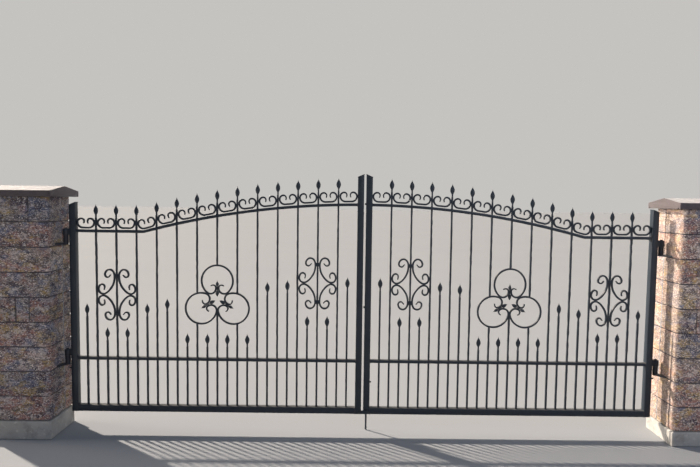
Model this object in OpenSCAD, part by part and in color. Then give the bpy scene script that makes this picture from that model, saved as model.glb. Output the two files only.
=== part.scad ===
// Pair of arched wrought iron driveway leaves hung between two block piers.
// Millimetres, Z up. The origin is in the middle of the left pier's underside.
// X runs along the gate to the right and Y runs from the street into the yard.

/* [Opening] */
// Clear width between the two piers
opening_w = 3870; // [3400:10:4300]
// Gap between the two meeting stiles
meeting_gap = 14; // [12:1:18]
// Space between a hinge stile and its pier
hinge_gap = 63; // [60:1:75]
// Height of the bottom rail above the ground
ground_gap = 125; // [115:5:140]
// Distance of the leaves' middle plane behind the piers' middle plane
leaf_setback = 25; // [15:5:50]

/* [Piers] */
// Width of a pier along the gate
pier_w = 400; // [300:10:500]
// Depth of a pier from street to yard
pier_d = 280; // [240:10:360]
// Height of one course of blocks with its joint
course_h = 154; // [150:1:158]
// Number of block courses
courses = 9; // [9:1:10]
// Height of the left pier's concrete plinth
left_plinth_h = 118; // [112:1:130]
// Height of the right pier's concrete plinth
right_plinth_h = 94; // [92:1:130]
// How far the plinth stands out from the blocks
plinth_out = 10; // [4:1:12]
// How far the coping hangs over the blocks at its ends
coping_out = 45; // [30:1:60]
// How far the coping hangs over the blocks towards the street and the yard
coping_side = 35; // [25:1:60]
// Height of the coping's upright edge
coping_lip = 38; // [25:1:60]
// Rise of the coping from its edge to its ridge
coping_rise = 30; // [15:1:60]
// Width of the drip groove under the coping
drip_w = 12; // [8:1:16]
// Depth of the drip groove
drip_depth = 8; // [4:1:12]

/* [Leaf frame] */
// Side of the square tube of the stiles and the bottom rail
tube = 40; // [36:1:44]
// Height of the hinge stile's low side above the ground
hinge_stile_h = 1452; // [1430:1:1480]
// Height of the latch stile's low side above the ground
latch_stile_h = 1652; // [1620:1:1700]
// Rise of the slanted stile tops across the tube
stile_slant = 17; // [8:1:24]
// Thickness of the cap plates on the stiles
cap_t = 4; // [3:1:6]
// How far a cap plate stands out from its tube
cap_out = 1.5; // [0.5:0.5:3]
// Height of the flat bar rails
rail_h = 18; // [14:1:24]
// Depth of the flat bar rails, through which the bars are punched
rail_d = 30; // [24:1:36]
// Height of the middle rail's centre
mid_rail_z = 470; // [460:1:500]
// Height of the top rail's level stretch
top_rail_z = 1290; // [1280:1:1310]
// Rise of the top rail's arch to the middle of the gate
arch_rise = 189; // [150:1:200]
// Distance from the middle of the gate to the foot of the arch
arch_half = 1405; // [1300:5:1500]

/* [Bars] */
// Side of the square bars
bar = 12; // [10:1:13]
// Number of long bars in a leaf
long_count = 13; // [13:1:13]
// Height of a spear tip above the top rail
spear_rise = 170; // [160:1:190]
// Length of a spear head's leaf
spear_leaf = 68; // [55:1:75]
// Width of a spear head's leaf
spear_w = 29; // [24:1:32]
// Width of the tip of a spear head and of a fleur
leaf_tip_w = 1.6; // [1:0.1:2]
// Thickness of a spear head at its middle
spear_t = 9; // [6:1:12]
// Length of the neck under a spear head
spear_neck = 18; // [12:1:26]
// Width of the neck under a spear head
neck_w = 10; // [7:1:11]
// Length by which a neck is let into its bar and into its spear head
neck_root = 3; // [2:1:6]
// Drop of the high short bars' tips below the top rail
short_drop = 464; // [450:1:490]
// Space between a lyre and the short bars' tips below it
lyre_gap = 42; // [30:1:60]
// Space between the trefoil and the short bars' tips below it
trefoil_gap = 58; // [40:1:70]

/* [Ornaments] */
// Side of the square bar that the scrolls and rings are bent from
scroll_w = 11.5; // [9:0.5:12]
// Width of a scroll's drawn-down end
scroll_tip_w = 7; // [5:1:8]
// Height of the middle of the scrolls beside the hinges
hinge_lyre_z = 882; // [870:1:900]
// Height of the middle of the scrolls beside the meeting stiles
latch_lyre_z = 972; // [960:1:990]
// Height of the trefoil's centre
trefoil_z = 861; // [850:1:875]
// Radius of a trefoil ring to the middle of its bar
ring_r = 100; // [98:0.5:104]
// Distance from the trefoil's centre to a ring's centre
ring_off = 119; // [117:0.5:121]
// Height of the fixing blocks between a long bar and its scrolls
collar_h = 24; // [16:1:30]
// Depth of those fixing blocks
collar_d = 18; // [14:1:24]
// Clearance of the top scrolls above the top rail
scroll_lift = 6; // [2:1:10]

/* [Hinges] */
// Height of the upper hinge's bearing face
upper_hinge_z = 1250; // [1200:1:1300]
// Height of the lower hinge's bearing face
lower_hinge_z = 474; // [460:1:520]
// How much higher the left leaf's hinges sit
left_hinge_up = 12; // [-20:1:20]
// How much higher the right leaf's hinges sit
right_hinge_up = -15; // [-20:1:20]
// Distance from a hinge stile to its hinge axis
eye_reach = 30; // [28:1:34]
// Outer radius of the eye on the leaf
eye_r = 18; // [16:1:20]
// Height of the eye
eye_h = 42; // [34:1:50]
// Depth of the lug that joins the eye to the stile
lug_d = 24; // [18:1:30]
// Outer radius of the fixed barrel
barrel_r = 16; // [14:1:17]
// Height of the fixed barrel
barrel_h = 48; // [40:1:60]
// Radius of the hinge pin
pin_r = 8; // [6:0.5:10]
// Clearance between the pin and the eye's bore
pin_clear = 0.05; // [0.03:0.01:0.1]
// Gap between the eye and the barrel
bearing_gap = 0.3; // [0.2:0.1:1]
// Height of the pin's end above the eye
pin_stand = 5; // [2:1:8]
// Width of the arm that is built into the pier
arm_w = 28; // [22:1:30]
// Thickness of the arm
arm_t = 12; // [8:1:14]
// How far towards the street the arm enters the pier
arm_shift = 45; // [35:1:55]
// Length of the arm inside the pier
arm_root_length = 90; // [60:5:120]
// Length of the lift stop under the lower hinge
lift_stop_l = 18; // [14:1:22]
// Side of the lift stop
lift_stop_s = 10; // [8:1:12]
// Space between the lower arm and the lift stop
lift_space = 18; // [10:1:24]

/* [Meeting stiles] */
// Thickness of the stop plate across the meeting stiles
stop_t = 6; // [5:1:10]
// Height of the stop plate
stop_h = 23; // [18:1:30]
// Height of the stop plate's underside above the bottom rail's underside
stop_up = 4; // [2:1:10]
// Length of the stop plate on each side of its leaf's edge
stop_half = 35; // [30:1:40]
// Space between the stop plate and the stile that meets it
stop_space = 5; // [5:1:8]
// Distance of the stop plate's packing piece from the plate's edges
packing_in = 3; // [2:1:6]
// Thickness of the pads in the meeting gap
pad_t = 8; // [5:1:9]
// Height of the pads
pad_h = 11; // [8:1:16]
// Depth of the pads
pad_d = 22; // [14:1:30]
// Heights of the two pads above the ground
pad_low_z = 822; // [780:1:860]
pad_high_z = 1484; // [1460:1:1500]
// Radius of the drop bolt's rod
rod_r = 6; // [5:0.5:7]
// Height of the drop bolt's tip above the ground
rod_tip = 2; // [1:1:10]
// Height of the drop bolt's handle
handle_z = 321; // [315:1:330]
// Length of the handle from the rod's axis
handle_l = 31; // [30:1:40]
// Radius of the bend between the rod and its handle
handle_bend = 14; // [12:1:16]
// Heights of the two keepers' undersides
keeper_low_z = 145; // [140:1:150]
keeper_high_z = 262; // [255:1:270]
// Height of a keeper
keeper_h = 15; // [12:1:18]
// Width of a keeper
keeper_w = 34; // [30:1:38]
// Distance from the stile to the rod's axis
rod_off = 15; // [13:1:18]
// Radial space round the rod in a keeper
rod_clear = 0.8; // [0.5:0.1:1]
// Wall of a keeper's eye
keeper_wall = 4; // [3:0.5:5]
// Height of the rod's stop collar
collar_ring_h = 8; // [6:1:10]
// Radius of the rod's stop collar
collar_ring_r = 10; // [9:0.5:12]

/* [Hidden] */

iron = "#24272c";
block_colour = "#8d7566";
concrete = "#a39d95";
coping_colour = "#7c6960";

// Largest distance between a curve and the straight pieces that stand for it
chord_error = 0.12;
$fn = 48;

leaf_w = (opening_w - meeting_gap) / 2 - hinge_gap;
pier_gap = pier_w + opening_w;
low_rail_top = ground_gap + tube;
bay = (leaf_w - 2 * tube - long_count * bar) / (long_count + 1);
pitch = bay + bar;
arch_r = (arch_half * arch_half + arch_rise * arch_rise) / (2 * arch_rise);
short_count = long_count + 1;
middle_bar = (long_count - 1) / 2;

// Distance of a point of the leaf from the middle of the gate
function from_middle(x) = leaf_w + meeting_gap / 2 - x;
// Height of the top rail's middle line over a point of the leaf
function top_z(x) = let (d = from_middle(x))
    d > arch_half ? top_rail_z : top_rail_z + arch_rise - arch_r + sqrt(arch_r * arch_r - d * d);
// Slope of the top rail in degrees
function top_slope(x) = let (d = from_middle(x)) d > arch_half ? 0 : asin(d / arch_r);
function long_x(i) = tube + bay + bar / 2 + i * pitch;
function short_x(i) = tube + bay / 2 + i * pitch;

// A smith's bends: each step is [radius, degrees turned to the left], or [0, straight length]
function ahead(a) = [cos(a), sin(a)];
function left_of(a) = [-sin(a), cos(a)];
function arc_points(p, a, r, turn) = let (
    s = sign(turn),
    n = ceil(abs(turn) / (2 * acos(1 - chord_error / r))),
    c = p + s * r * left_of(a)
) [for (i = [1:n]) c - s * r * left_of(a + turn * i / n)];
function run(p, a, steps, i = 0) = i == len(steps) ? [] : let (
    r = steps[i][0],
    q = r == 0 ? [p + steps[i][1] * ahead(a)] : arc_points(p, a, r, steps[i][1]),
    b = r == 0 ? a : a + steps[i][1]
) concat(q, run(q[len(q) - 1], b, steps, i + 1));
function path(p, a, steps) = concat([p], run(p, a, steps));
function last(points) = points[len(points) - 1];
function reversed(points) = [for (i = [len(points) - 1:-1:0]) points[i]];
function flipped(points) = [for (p = points) [-p[0], p[1]]];

// Outline of a bar whose middle line runs through the points, with drawn-down ends
function toward(a, b) = (b - a) / norm(b - a);
function side(points, i) = let (
    n = len(points) - 1,
    d0 = i == 0 ? toward(points[0], points[1]) : toward(points[i - 1], points[i]),
    d1 = i == n ? d0 : toward(points[i], points[i + 1]),
    m = (d0 + d1) / norm(d0 + d1)
) [-m[1], m[0]] / (m * d0);
drawn_steps = 10;
function drawn(points, i, w, tip) = let (n = len(points) - 1)
    tip + (w - tip) * min(1, i / drawn_steps, (n - i) / drawn_steps);
function outline(points, w, tip) = concat(
    [for (i = [0:len(points) - 1]) points[i] + side(points, i) * drawn(points, i, w, tip) / 2],
    [for (i = [len(points) - 1:-1:0]) points[i] - side(points, i) * drawn(points, i, w, tip) / 2]
);

// Stands a drawing of the leaf upright, d deep about the leaf's middle plane
module upright(d) {
    rotate([90, 0, 0]) linear_extrude(d, center = true) children();
}

module on_left() {
    translate([pier_w / 2 + hinge_gap, leaf_setback, 0]) children();
}

module on_right() {
    translate([pier_gap - pier_w / 2 - hinge_gap, leaf_setback, 0]) mirror([1, 0, 0]) children();
}

// Piers, drawn at the left end; the right one mirrors them about the middle of the gate
module at_right_pier() {
    translate([pier_gap, 0, 0]) mirror([1, 0, 0]) children();
}

axis_x = pier_w / 2 + hinge_gap - eye_reach;
arm_angle = atan2(arm_shift, hinge_gap - eye_reach);
arm_out = (hinge_gap - eye_reach) / cos(arm_angle);

module arm(z) {
    translate([axis_x, leaf_setback, z - barrel_h - arm_t]) rotate([0, 0, 180 + arm_angle])
        translate([0, -arm_w / 2, 0]) cube([arm_out + arm_root_length, arm_w, arm_t]);
}

module plinth(plinth_h) {
    color(concrete) translate([-pier_w / 2 - plinth_out, -pier_d / 2 - plinth_out, 0])
        cube([pier_w + 2 * plinth_out, pier_d + 2 * plinth_out, plinth_h]);
}

module pier(plinth_h, hinge_up) {
    color(block_colour) difference() {
        translate([-pier_w / 2, -pier_d / 2, plinth_h]) cube([pier_w, pier_d, courses * course_h]);
        arm(upper_hinge_z + hinge_up);
        arm(lower_hinge_z + hinge_up);
    }
}

// Saddleback coping: upright edges, two slopes to a ridge, drip grooves underneath
module coping(plinth_h) {
    half = pier_d / 2 + coping_side;
    groove = half - coping_side / 2;
    wall_top = plinth_h + courses * course_h;
    color(coping_colour) translate([-pier_w / 2 - coping_out, 0, wall_top]) rotate([90, 0, 90])
        linear_extrude(pier_w + 2 * coping_out) difference() {
            polygon([
                [-half, 0], [half, 0], [half, coping_lip], [0, coping_lip + coping_rise],
                [-half, coping_lip]
            ]);
            for (s = [-1, 1]) translate([s * groove - drip_w / 2, 0]) square([drip_w, drip_depth]);
        }
}

module pintle(z) {
    arm(z);
    translate([axis_x, leaf_setback, z - barrel_h - arm_t]) cylinder(r = barrel_r, h = barrel_h + arm_t);
    translate([axis_x, leaf_setback, z]) cylinder(r = pin_r, h = bearing_gap + eye_h + pin_stand);
}

module pintles(hinge_up) {
    color(iron) {
        pintle(upper_hinge_z + hinge_up);
        pintle(lower_hinge_z + hinge_up);
    }
}

// Frame of one leaf, hinge side at x = 0
function stile_outline(x, h) = [
    [x, ground_gap], [x + tube, ground_gap], [x + tube, h + stile_slant], [x, h]
];

module hinge_stile() {
    color(iron) upright(tube) polygon(stile_outline(0, hinge_stile_h));
}

module latch_stile() {
    color(iron) upright(tube) polygon(stile_outline(leaf_w - tube, latch_stile_h));
}

function cap_outline(x, h) = let (k = stile_slant / tube) [
    [x - cap_out, h - k * cap_out], [x + tube + cap_out, h + k * (tube + cap_out)],
    [x + tube + cap_out, h + k * (tube + cap_out) + cap_t], [x - cap_out, h - k * cap_out + cap_t]
];

module stile_caps() {
    color(iron) upright(tube + 2 * cap_out) {
        polygon(cap_outline(0, hinge_stile_h));
        polygon(cap_outline(leaf_w - tube, latch_stile_h));
    }
}

module bottom_rail() {
    color(iron) translate([tube, -tube / 2, ground_gap]) cube([leaf_w - 2 * tube, tube, tube]);
}

module punched(z_from, z_to, short) {
    for (i = [0:long_count - 1]) translate([long_x(i) - bar / 2, -bar / 2, z_from])
        cube([bar, bar, z_to - z_from]);
    if (short) for (i = [0:short_count - 1]) translate([short_x(i) - bar / 2, -bar / 2, z_from])
        cube([bar, bar, z_to - z_from]);
}

module mid_rail() {
    color(iron) difference() {
        translate([tube, -rail_d / 2, mid_rail_z - rail_h / 2]) cube([leaf_w - 2 * tube, rail_d, rail_h]);
        punched(mid_rail_z - rail_h, mid_rail_z + rail_h, true);
    }
}

arch_x = leaf_w + meeting_gap / 2 - arch_half;
top_points = concat(
    [[0, top_rail_z]],
    path([arch_x, top_rail_z], top_slope(arch_x), [[arch_r, -top_slope(arch_x)]])
);

module top_rail() {
    color(iron) difference() {
        upright(rail_d) intersection() {
            polygon(outline(top_points, rail_h, rail_h));
            translate([tube, ground_gap]) square([leaf_w - 2 * tube, latch_stile_h - ground_gap]);
        }
        punched(top_rail_z - rail_h, top_rail_z + arch_rise + rail_h, false);
    }
}

// Half of a forged leaf, up from its root. It swells along a quarter of a sine to its widest place,
// then runs out to the tip, which is the more slender the higher the power.
leaf_steps = 16;
function leaf_half(t, root, wide, wide_at, slender) = t < wide_at
    ? (root + (wide - root) * sin(90 * t / wide_at)) / 2
    : max(leaf_tip_w, wide * pow(1 - pow((t - wide_at) / (1 - wide_at), 2), slender)) / 2;
function leaf_side(from, to, root, wide, wide_at, slender) = [
    for (i = [0:leaf_steps]) let (t = i / leaf_steps)
        [leaf_half(t, root, wide, wide_at, slender), from + t * (to - from)]
];

spear_h = spear_neck + spear_leaf;
spear_wide_at = 0.4;
spear_slender = 1.9;
spear_side = leaf_side(spear_neck, spear_h, neck_w, spear_w, spear_wide_at, spear_slender);

module spear(x, z) {
    translate([x, 0, z]) {
        upright(spear_t) polygon(concat(spear_side, flipped(reversed(spear_side))));
        translate([-neck_w / 2, -neck_w / 2, -neck_root])
            cube([neck_w, neck_w, spear_neck + 2 * neck_root]);
    }
}

// Upright lengths of long bar i, which stop at the trefoil's rings when they meet them
function ring_x(k) = long_x(middle_bar) + ring_off * cos(90 + 120 * k);
function ring_z(k) = trefoil_z + ring_off * sin(90 + 120 * k);
meet_z = ring_z(1) - sqrt(pow(ring_r + scroll_w / 2, 2) - pow(ring_off * cos(30), 2));
function ring_cut(x, k, up) = ring_z(k) + up * sqrt(ring_r * ring_r - pow(x - ring_x(k), 2));
function long_parts(i) = let (x = long_x(i), top = top_z(x) + spear_rise - spear_h)
    i == middle_bar ? [[low_rail_top, meet_z], [ring_cut(x, 0, 1), top]]
    : i == middle_bar - 1 ? [[low_rail_top, ring_cut(x, 1, -1)], [ring_cut(x, 1, 1), top]]
    : i == middle_bar + 1 ? [[low_rail_top, ring_cut(x, 2, -1)], [ring_cut(x, 2, 1), top]]
    : [[low_rail_top, top]];

module long_bars() {
    color(iron) {
        upright(bar) difference() {
            for (i = [0:long_count - 1], part = long_parts(i))
                translate([long_x(i) - bar / 2, part[0]]) square([bar, part[1] - part[0]]);
            trefoil_drawing();
        }
        for (i = [0:long_count - 1]) spear(long_x(i), top_z(long_x(i)) + spear_rise - spear_h);
    }
}

// Tip height of short bar i: low under an ornament, high elsewhere
function short_tip(i) = let (x = short_x(i))
    i == 1 || i == 2 ? hinge_lyre_z - lyre_reach - lyre_gap
    : i == long_count - 2 || i == long_count - 1 ? latch_lyre_z - lyre_reach - lyre_gap
    : abs(i - middle_bar - 0.5) < 2 ? ring_z(1) - ring_r - scroll_w / 2 - trefoil_gap
    : top_z(x) - short_drop;

module short_bars() {
    color(iron) for (i = [0:short_count - 1]) {
        top = short_tip(i) - spear_h;
        translate([short_x(i) - bar / 2, -bar / 2, low_rail_top]) cube([bar, bar, top - low_rail_top]);
        spear(short_x(i), top);
    }
}

// Scrolls that lie in the bays on the top rail, one in each
scroll_base_r = 33;
scroll_side_r = 25;
scroll_tip_r = 17;
scroll_eye_r = 26;
scroll_eye_turn = 35;
// Width by which a scroll is filed where it seats on a bar
seat = 0.4;
scroll_steps = [
    [scroll_base_r, 90], [scroll_side_r, 90], [scroll_tip_r, 90], [scroll_eye_r, scroll_eye_turn]
];

module top_scroll(x) {
    a = top_slope(x);
    level = bay + 2 * seat - scroll_w - scroll_base_r - scroll_side_r;
    flat = (level / cos(a) - scroll_base_r + scroll_side_r) / 2;
    half = path([flat, 0], 0, scroll_steps);
    shift = scroll_base_r * sin(a) - (scroll_base_r - scroll_side_r) * (1 - cos(a)) / 2;
    lift = (rail_h / 2 + scroll_lift + scroll_w / 2) / cos(a);
    intersection() {
        translate([x + shift, top_z(x) + lift]) rotate(a)
            polygon(outline(concat(reversed(flipped(half)), half), scroll_w, scroll_tip_w));
        translate([x - bay / 2, top_z(x) - bay]) square([bay, 3 * bay]);
    }
}

module top_scrolls() {
    color(iron) upright(scroll_w) for (i = [0:short_count - 1]) top_scroll(short_x(i));
}

// Lyre: four C scrolls about a long bar, mirrored left to right and top to bottom.
// The lower arm leaves the collar straight, bows outwards and seats on its mirror image at its foot
foot_steps = [[0, 4], [120, 30], [150, 12], [96, 18], [31, 30]];
// From its foot it turns up to seat on the next bar, and curls in
side_step = [29.5, 90];
curl_steps = [[44, 35], [17, 55], [17, 90], [48, 24]];
// The upper arm leans out from the collar, arches over and curls in
lean_steps = [[0, 3], [52, -35], [27.5, -55]];
crook_steps = [[27, -45], [35, -45], [17, -90], [13, -50], [0, 16]];
foot = last(run([0, 0], -90, foot_steps));
foot_side = last(run([0, 0], -90, concat(foot_steps, [side_step])));
lyre_start = [pitch - bar / 2 - scroll_w / 2 + seat - foot_side[0], scroll_w / 2 - seat - foot[1]];
// Height of a collar's middle above the start of both arms
collar_lift = 3;
collar_up = lyre_start[1] + collar_lift;
lyre_reach = last(run(lyre_start, 90, lean_steps))[1] + scroll_w / 2;

module lyre_quarter() {
    upper = reversed(run(lyre_start, 90, concat(lean_steps, crook_steps)));
    lower = path(lyre_start, -90, concat(foot_steps, [side_step], curl_steps));
    intersection() {
        polygon(outline(concat(upper, lower), scroll_w, scroll_tip_w));
        translate([bar / 2, -pitch]) square([bay, 3 * pitch]);
    }
}

module lyre(x, z) {
    color(iron) difference() {
        union() {
            upright(scroll_w) translate([x, z]) for (a = [0, 1], b = [0, 1])
                mirror([a, 0]) mirror([0, b]) lyre_quarter();
            for (s = [-1, 1])
                translate([x - lyre_start[0], -collar_d / 2, z + s * collar_up - collar_h / 2])
                    cube([2 * lyre_start[0], collar_d, collar_h]);
        }
        translate([x - bar / 2, -bar / 2, z - pitch * 2]) cube([bar, bar, pitch * 4]);
    }
}

// Trefoil: three rings whose ends turn back into them and curl over a fleur
depart = 138;
hook_r = 35;
hook_straight = 3.5;
petal_r = 17.5;
petal_tip_r = 25;
petal_tip_turn = 42;
ring_steps = [
    [ring_r, depart], [hook_r, 270 - depart], [0, hook_straight], [petal_r, 90],
    [petal_tip_r, petal_tip_turn]
];
ring_top = [0, ring_off + ring_r];
ring_half = run(ring_top, 180, ring_steps);
cheek = run(ring_top, 180, [[ring_r, depart], [hook_r, 270 - depart]]);
stem_half = -last(cheek)[0] - scroll_w / 2;
cheek_up = last(cheek)[1];

module trefoil_drawing() {
    ring = concat(reversed(flipped(ring_half)), [ring_top], ring_half);
    for (k = [0:2]) translate([long_x(middle_bar), trefoil_z]) rotate(120 * k)
        polygon(outline(ring, scroll_w, scroll_tip_w));
}

module trefoil() {
    color(iron) upright(scroll_w) trefoil_drawing();
}

// A fleur is a stem between the ring's two ends, with a bud above and a broader leaf hanging below.
// Its heights are taken up from where the ring's ends seat on the stem.
bud_root = 13;
bud_tip = 51;
bud_w = 20;
bud_wide_at = 0.37;
bud_slender = 2;
tail_root = -15;
tail_tip = -54;
tail_w = 23;
tail_wide_at = 0.37;
tail_slender = 1.1;
// Depth of a fleur, which is a little less than the bar beside it
fleur_d = scroll_w - 2;
fleur_side = concat(
    reversed(leaf_side(tail_root, tail_tip, 2 * stem_half, tail_w, tail_wide_at, tail_slender)),
    leaf_side(bud_root, bud_tip, 2 * stem_half, bud_w, bud_wide_at, bud_slender)
);

module fleurs() {
    color(iron) upright(fleur_d) for (k = [0:2])
        translate([long_x(middle_bar), trefoil_z]) rotate(120 * k) translate([0, cheek_up])
            polygon(concat(fleur_side, flipped(reversed(fleur_side))));
}

// Hinge eyes that drop over the pins, and the lug that keeps the leaf from being lifted off
module hinge_eye(z) {
    difference() {
        union() {
            translate([-eye_reach, 0, z + bearing_gap]) cylinder(r = eye_r, h = eye_h);
            translate([-eye_reach, -lug_d / 2, z + bearing_gap]) cube([eye_reach, lug_d, eye_h]);
        }
        translate([-eye_reach, 0, z]) cylinder(r = pin_r + pin_clear, h = 2 * eye_h);
    }
}

module hinge_eyes(hinge_up) {
    color(iron) {
        hinge_eye(upper_hinge_z + hinge_up);
        hinge_eye(lower_hinge_z + hinge_up);
    }
}

module lift_stop(hinge_up) {
    z = lower_hinge_z + hinge_up - barrel_h - arm_t - lift_space - lift_stop_s;
    color(iron) translate([-lift_stop_l, -lift_stop_s / 2, z])
        cube([lift_stop_l, lift_stop_s, lift_stop_s]);
}

// Fittings of the meeting stiles, all on the right leaf
module stop_plate() {
    z = ground_gap + stop_up;
    color(iron) {
        translate([0, -tube / 2 - stop_space - stop_t / 2, 0]) upright(stop_t) polygon([
            [leaf_w + stop_half, z], [leaf_w + stop_half - stop_h, z + stop_h],
            [leaf_w - stop_half + packing_in, z + stop_h], [leaf_w - stop_half, z]
        ]);
        translate([leaf_w - stop_half + packing_in, -tube / 2 - stop_space, z + packing_in])
            cube([stop_half - 2 * packing_in, stop_space, stop_h - 2 * packing_in]);
    }
}

module meeting_pads() {
    color(iron) for (z = [pad_low_z, pad_high_z]) translate([leaf_w, -pad_d / 2, z - pad_h / 2])
        cube([pad_t, pad_d, pad_h]);
}

rod_x = leaf_w - tube / 2;
rod_y = tube / 2 + rod_off;

module keeper(z) {
    difference() {
        translate([rod_x - keeper_w / 2, tube / 2, z]) cube([keeper_w, rod_off, keeper_h]);
        translate([rod_x, rod_y, z - 1]) cylinder(r = rod_r + rod_clear + keeper_wall, h = keeper_h + 2);
    }
    difference() {
        translate([rod_x, rod_y, z]) cylinder(r = rod_r + rod_clear + keeper_wall, h = keeper_h);
        translate([rod_x, rod_y, z - 1]) cylinder(r = rod_r + rod_clear, h = keeper_h + 2);
    }
}

module bolt_keepers() {
    color(iron) {
        keeper(keeper_low_z);
        keeper(keeper_high_z);
    }
}

module drop_bolt() {
    color(iron) translate([rod_x, rod_y, 0]) {
        translate([0, 0, rod_tip]) cylinder(r = rod_r, h = handle_z - handle_bend - rod_tip);
        translate([0, 0, keeper_high_z + keeper_h]) cylinder(r = collar_ring_r, h = collar_ring_h);
        translate([-handle_bend, 0, handle_z - handle_bend]) rotate([90, 0, 0])
            rotate_extrude(angle = 90) translate([handle_bend, 0]) circle(r = rod_r);
        translate([-handle_l, 0, handle_z]) rotate([0, 90, 0])
            cylinder(r = rod_r, h = handle_l - handle_bend);
    }
}

plinth(left_plinth_h);  // left_plinth
pier(left_plinth_h, left_hinge_up);  // left_pier
coping(left_plinth_h);  // left_coping
at_right_pier() plinth(right_plinth_h);  // right_plinth
at_right_pier() pier(right_plinth_h, right_hinge_up);  // right_pier
at_right_pier() coping(right_plinth_h);  // right_coping
pintles(left_hinge_up);  // left_pintles
at_right_pier() pintles(right_hinge_up);  // right_pintles
on_left() hinge_stile();  // left_hinge_stile
on_left() latch_stile();  // left_latch_stile
on_left() stile_caps();  // left_stile_caps
on_left() bottom_rail();  // left_bottom_rail
on_left() mid_rail();  // left_mid_rail
on_left() top_rail();  // left_top_rail
on_left() long_bars();  // left_long_bars
on_left() short_bars();  // left_short_bars
on_left() top_scrolls();  // left_top_scrolls
on_left() lyre(long_x(1), hinge_lyre_z);  // left_hinge_lyre
on_left() lyre(long_x(long_count - 2), latch_lyre_z);  // left_latch_lyre
on_left() trefoil();  // left_trefoil
on_left() fleurs();  // left_fleurs
on_left() hinge_eyes(left_hinge_up);  // left_hinge_eyes
on_left() lift_stop(left_hinge_up);  // left_lift_stop
on_right() hinge_stile();  // right_hinge_stile
on_right() latch_stile();  // right_latch_stile
on_right() stile_caps();  // right_stile_caps
on_right() bottom_rail();  // right_bottom_rail
on_right() mid_rail();  // right_mid_rail
on_right() top_rail();  // right_top_rail
on_right() long_bars();  // right_long_bars
on_right() short_bars();  // right_short_bars
on_right() top_scrolls();  // right_top_scrolls
on_right() lyre(long_x(1), hinge_lyre_z);  // right_hinge_lyre
on_right() lyre(long_x(long_count - 2), latch_lyre_z);  // right_latch_lyre
on_right() trefoil();  // right_trefoil
on_right() fleurs();  // right_fleurs
on_right() hinge_eyes(right_hinge_up);  // right_hinge_eyes
on_right() lift_stop(right_hinge_up);  // right_lift_stop
on_right() stop_plate();
on_right() meeting_pads();
on_right() bolt_keepers();
on_right() drop_bolt();
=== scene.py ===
# %% [markdown]
# A pair of wrought iron driveway leaves hung between two piers of split-faced blocks.
# The measured frame comes first, and every piece goes where it says, in metres, with X along the
# gate to the right, Y from the street into the yard and Z up.

# %% Load the measured frame
import itertools
import math
import bpy
import numpy as np
from mathutils import Matrix


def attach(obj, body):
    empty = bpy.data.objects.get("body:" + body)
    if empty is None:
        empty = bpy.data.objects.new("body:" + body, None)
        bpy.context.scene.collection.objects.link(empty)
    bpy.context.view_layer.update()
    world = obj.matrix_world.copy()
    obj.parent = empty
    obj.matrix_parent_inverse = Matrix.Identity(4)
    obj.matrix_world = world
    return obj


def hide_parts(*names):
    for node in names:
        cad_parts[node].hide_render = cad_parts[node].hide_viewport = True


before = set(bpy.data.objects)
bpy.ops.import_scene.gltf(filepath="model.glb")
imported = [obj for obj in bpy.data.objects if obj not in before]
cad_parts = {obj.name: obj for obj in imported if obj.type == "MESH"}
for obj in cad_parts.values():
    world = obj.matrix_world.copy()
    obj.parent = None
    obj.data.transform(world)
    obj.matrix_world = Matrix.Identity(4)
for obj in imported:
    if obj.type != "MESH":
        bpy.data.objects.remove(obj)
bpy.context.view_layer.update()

# %% [markdown]
# The photographer stood on the drive, a little left of the middle, with the eye at 1.5 m.
# A camera can be aimed by hand or with a Track To constraint. Here its three axes are written out,
# because a turn, a tilt and a roll of under four degrees were measured from the upright stiles.

# %% Camera
SENSOR, FOCAL_PIXELS, PHOTO_WIDTH = 36.0, 543.57, 700
camera_place = (2.0208, -3.4380, 1.5058)
yaw, pitch, roll = 0.00601, -0.06078, 0.01362

ahead = np.array([math.sin(yaw) * math.cos(pitch), math.cos(yaw) * math.cos(pitch), math.sin(pitch)])
level = np.array([math.cos(yaw), -math.sin(yaw), 0.0])
above = np.cross(level, ahead)
rightward = level * math.cos(roll) + above * math.sin(roll)
upward = above * math.cos(roll) - level * math.sin(roll)


def in_scene(name, data, axes=np.eye(3), place=(0, 0, 0)):
    """Puts an object into the scene. The columns of axes are the directions of its X, Y and Z."""
    made = bpy.data.objects.new(name, data)
    scene.collection.objects.link(made)
    made.matrix_world = Matrix(np.block([[axes, np.reshape(place, (3, 1))], [0, 0, 0, 1]]).tolist())
    return made


scene = bpy.context.scene
camera_data = bpy.data.cameras.new("camera")
camera_data.sensor_width = SENSOR
camera_data.lens = FOCAL_PIXELS * SENSOR / PHOTO_WIDTH
scene.camera = in_scene("camera", camera_data, np.stack([rightward, upward, -ahead], 1), camera_place)
print("lens", round(camera_data.lens, 2), "mm")

# %% [markdown]
# A low sun stands on the left, a little behind the gate: the shadow that the right hinge stile throws
# on its pier gives 32 degrees of height and 35 degrees behind the gate's plane. So the street side
# lies in blue open shade. One sky could light it all, but lamps can be matched one by one: a warm sun
# with a soft edge, a wide faint one for the light that the sunny ground throws back, and a disk beside
# the camera for the street's open sky. The backdrop is pale towards the yard and dimmer behind the
# camera and overhead, so that dark iron has nothing to mirror.

# %% Light and background
def linear(text):
    """An sRGB hex colour as the linear values that shaders add up."""
    channel = np.array([int(text[i:i + 2], 16) for i in (1, 3, 5)]) / 255
    curve = np.where(channel <= 0.04045, channel / 12.92, ((channel + 0.055) / 1.055) ** 2.4)
    return (*curve.tolist(), 1.0)


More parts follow.
